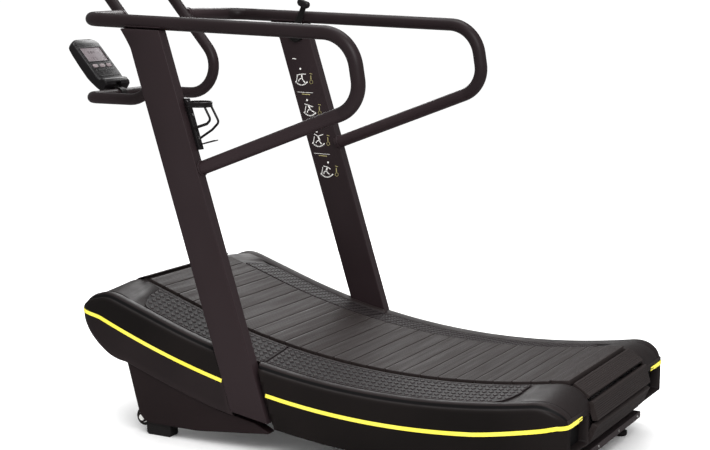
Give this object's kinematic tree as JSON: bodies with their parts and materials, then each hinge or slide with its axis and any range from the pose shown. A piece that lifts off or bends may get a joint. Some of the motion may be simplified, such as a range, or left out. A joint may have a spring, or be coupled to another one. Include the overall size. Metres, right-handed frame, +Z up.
{
  "type": "curved manual treadmill",
  "caption": "Motorless treadmill with a concave slatted belt between padded side covers, leaning uprights, looped handrails, a push handle and a small console.",
  "frame": {"origin": "on the floor, at the middle of the machine's length and width", "axes": "+X forward (the way the runner faces), +Y to the runner's left, +Z up"},
  "size_m": [2.0142, 0.922, 1.5388],
  "materials": {
    "frame_paint": "semi-gloss powder coat",
    "stand_paint": "satin powder coat",
    "cover_plastic": "satin moulded plastic",
    "panel_paint": "satin powder coat",
    "yellow_trim": "gloss",
    "step_pad": "matte, raised diamond pattern",
    "belt_slat": "matte, fine grooves",
    "rubber": "matte",
    "wheel_nylon": "satin",
    "steel": "brushed",
    "roller_nylon": "satin",
    "bearing_iron": "painted",
    "brake_aluminium": "machined",
    "cable_rubber": "satin",
    "black_plastic": "gloss",
    "screen": "glossy",
    "button_grey": "satin"
  },
  "bodies": {
    "frame": {"base_frame": "frame_paint", "stand_left": "stand_paint", "stand_right": "stand_paint", "front_foot_left": "rubber", "front_foot_right": "rubber", "wheel_bolt_left": "steel", "wheel_bolt_right": "steel", "rear_panel": "panel_paint", "front_bearing_left": "bearing_iron", "front_bearing_right": "bearing_iron", "rear_bearing_left": "bearing_iron", "rear_bearing_right": "bearing_iron", "front_cover_left": "cover_plastic", "front_cover_right": "cover_plastic", "rear_cover_left": "cover_plastic", "rear_cover_right": "cover_plastic", "front_trim_left": "yellow_trim", "front_trim_right": "yellow_trim", "rear_trim_left": "yellow_trim", "rear_trim_right": "yellow_trim", "front_pad_left": "step_pad", "front_pad_right": "step_pad", "rear_pad_left": "step_pad", "rear_pad_right": "step_pad", "front_hood": "cover_plastic", "upright_left": "frame_paint", "upright_right": "frame_paint", "handrail_left": "frame_paint", "handrail_right": "frame_paint", "push_handle": "frame_paint", "brake_pivot_pin": "steel", "brake_cable": "cable_rubber", "lever_housing": "black_plastic", "console_bracket": "frame_paint", "console_hinge_pin": "steel", "bottle_cage": "black_plastic"},
    "belt_top": {"belt_arc": "belt_slat"},
    "belt_ramp": {"belt_ramp": "belt_slat"},
    "rear_drum": {"rear_pulley_shaft": "steel", "belt_rear_wrap": "belt_slat"},
    "front_drum": {"front_pulley_shaft": "steel", "brake_disc": "brake_aluminium", "belt_front_wrap": "belt_slat"},
    "belt_return": {"belt_return": "belt_slat"},
    "roller_1": {"support_roller_1": "roller_nylon"},
    "roller_2": {"support_roller_2": "roller_nylon"},
    "roller_3": {"support_roller_3": "roller_nylon"},
    "roller_4": {"support_roller_4": "roller_nylon"},
    "wheel_left": {"transport_wheel_left": "wheel_nylon"},
    "wheel_right": {"transport_wheel_right": "wheel_nylon"},
    "foot_left": {"rear_foot_left": "rubber"},
    "foot_right": {"rear_foot_right": "rubber"},
    "lever": {"resistance_lever": "steel", "lever_knob": "black_plastic"},
    "yoke": {"brake_yoke": "bearing_iron"},
    "console": {"console_body": "black_plastic", "console_screen": "screen"},
    "button_1": {"console_button_1": "button_grey"},
    "button_2": {"console_button_2": "button_grey"},
    "button_3": {"console_button_3": "button_grey"}
  },
  "joints": [
    {"name": "belt_travel", "type": "hinge", "parent": "frame", "child": "belt_top", "pos_m": [-0.44507, 0, 2.744], "axis": [0, 1, 0], "range_deg": [-0.14, 0.8]},
    {"name": "belt_front_slope_travel", "type": "slide", "parent": "frame", "child": "belt_ramp", "axis": [-0.946, 0, -0.3242], "range_m": [-0.0063, 0.0351]},
    {"name": "rear_pulley_spin", "type": "hinge", "parent": "frame", "child": "rear_drum", "pos_m": [-0.8982, 0, 0.19496], "axis": [0, -1, 0], "range_deg": [-4.2, 23.2]},
    {"name": "front_pulley_spin", "type": "hinge", "parent": "frame", "child": "front_drum", "pos_m": [0.55789, 0, 0.3756], "axis": [0, -1, 0], "range_deg": [-5.7, 31.7]},
    {"name": "belt_return_travel", "type": "hinge", "parent": "frame", "child": "belt_return", "pos_m": [-0.66914, 0, 3.83433], "axis": [0, -1, 0], "range_deg": [-0.097, 0.539]},
    {"name": "support_roller_1_spin", "type": "hinge", "parent": "frame", "child": "roller_1", "pos_m": [-0.72007, 0, 0.23643], "axis": [0, -1, 0], "range_deg": [-22.6, 125.9]},
    {"name": "support_roller_2_spin", "type": "hinge", "parent": "frame", "child": "roller_2", "pos_m": [-0.35007, 0, 0.22319], "axis": [0, -1, 0], "range_deg": [-22.6, 125.9]},
    {"name": "support_roller_3_spin", "type": "hinge", "parent": "frame", "child": "roller_3", "pos_m": [0.05993, 0, 0.27246], "axis": [0, -1, 0], "range_deg": [-22.6, 125.9]},
    {"name": "support_roller_4_spin", "type": "hinge", "parent": "frame", "child": "roller_4", "pos_m": [0.23993, 0, 0.31618], "axis": [0, -1, 0], "range_deg": [-22.6, 125.9]},
    {"name": "transport_wheel_left_spin", "type": "hinge", "parent": "frame", "child": "wheel_left", "pos_m": [0.47393, 0.394, 0.04], "axis": [0, 1, 0], "continuous": true},
    {"name": "transport_wheel_right_spin", "type": "hinge", "parent": "frame", "child": "wheel_right", "pos_m": [0.47393, -0.394, 0.04], "axis": [0, 1, 0], "continuous": true},
    {"name": "rear_foot_left_height", "type": "slide", "parent": "frame", "child": "foot_left", "axis": [0, 0, 1], "range_m": [-0.012, 0.008]},
    {"name": "rear_foot_right_height", "type": "slide", "parent": "frame", "child": "foot_right", "axis": [0, 0, 1], "range_m": [-0.012, 0.008]},
    {"name": "resistance_lever_swing", "type": "hinge", "parent": "frame", "child": "lever", "pos_m": [0.37993, -0.405, 1.248], "axis": [0, 1, 0], "range_deg": [0, 60]},
    {"name": "brake_yoke_swing", "type": "hinge", "parent": "frame", "child": "yoke", "pos_m": [0.47589, -0.29, 0.3136], "axis": [0, 1, 0], "range_deg": [0, 15.5]},
    {"name": "console_tilt", "type": "hinge", "parent": "frame", "child": "console", "pos_m": [0.87253, 0, 1.0737], "axis": [0, 1, 0], "range_deg": [-10, 15]},
    {"name": "console_button_1_press", "type": "slide", "parent": "console", "child": "button_1", "axis": [0.7431, 0, -0.6691], "range_m": [0, 0.0012]},
    {"name": "console_button_2_press", "type": "slide", "parent": "console", "child": "button_2", "axis": [0.7431, 0, -0.6691], "range_m": [0, 0.0012]},
    {"name": "console_button_3_press", "type": "slide", "parent": "console", "child": "button_3", "axis": [0.7431, 0, -0.6691], "range_m": [0, 0.0012]}
  ],
  "couplings": [
    {"joint": "belt_front_slope_travel", "follows": "belt_travel", "m_per_rad": 2.502},
    {"joint": "rear_pulley_spin", "follows": "belt_travel", "ratio": 28.759},
    {"joint": "front_pulley_spin", "follows": "belt_travel", "ratio": 39.316},
    {"joint": "belt_return_travel", "follows": "belt_travel", "ratio": 0.67014},
    {"joint": "support_roller_1_spin", "follows": "belt_travel", "ratio": 156.62},
    {"joint": "support_roller_2_spin", "follows": "belt_travel", "ratio": 156.62},
    {"joint": "support_roller_3_spin", "follows": "belt_travel", "ratio": 156.62},
    {"joint": "support_roller_4_spin", "follows": "belt_travel", "ratio": 156.62},
    {"joint": "brake_yoke_swing", "follows": "resistance_lever_swing", "ratio": 0.25}
  ]
}
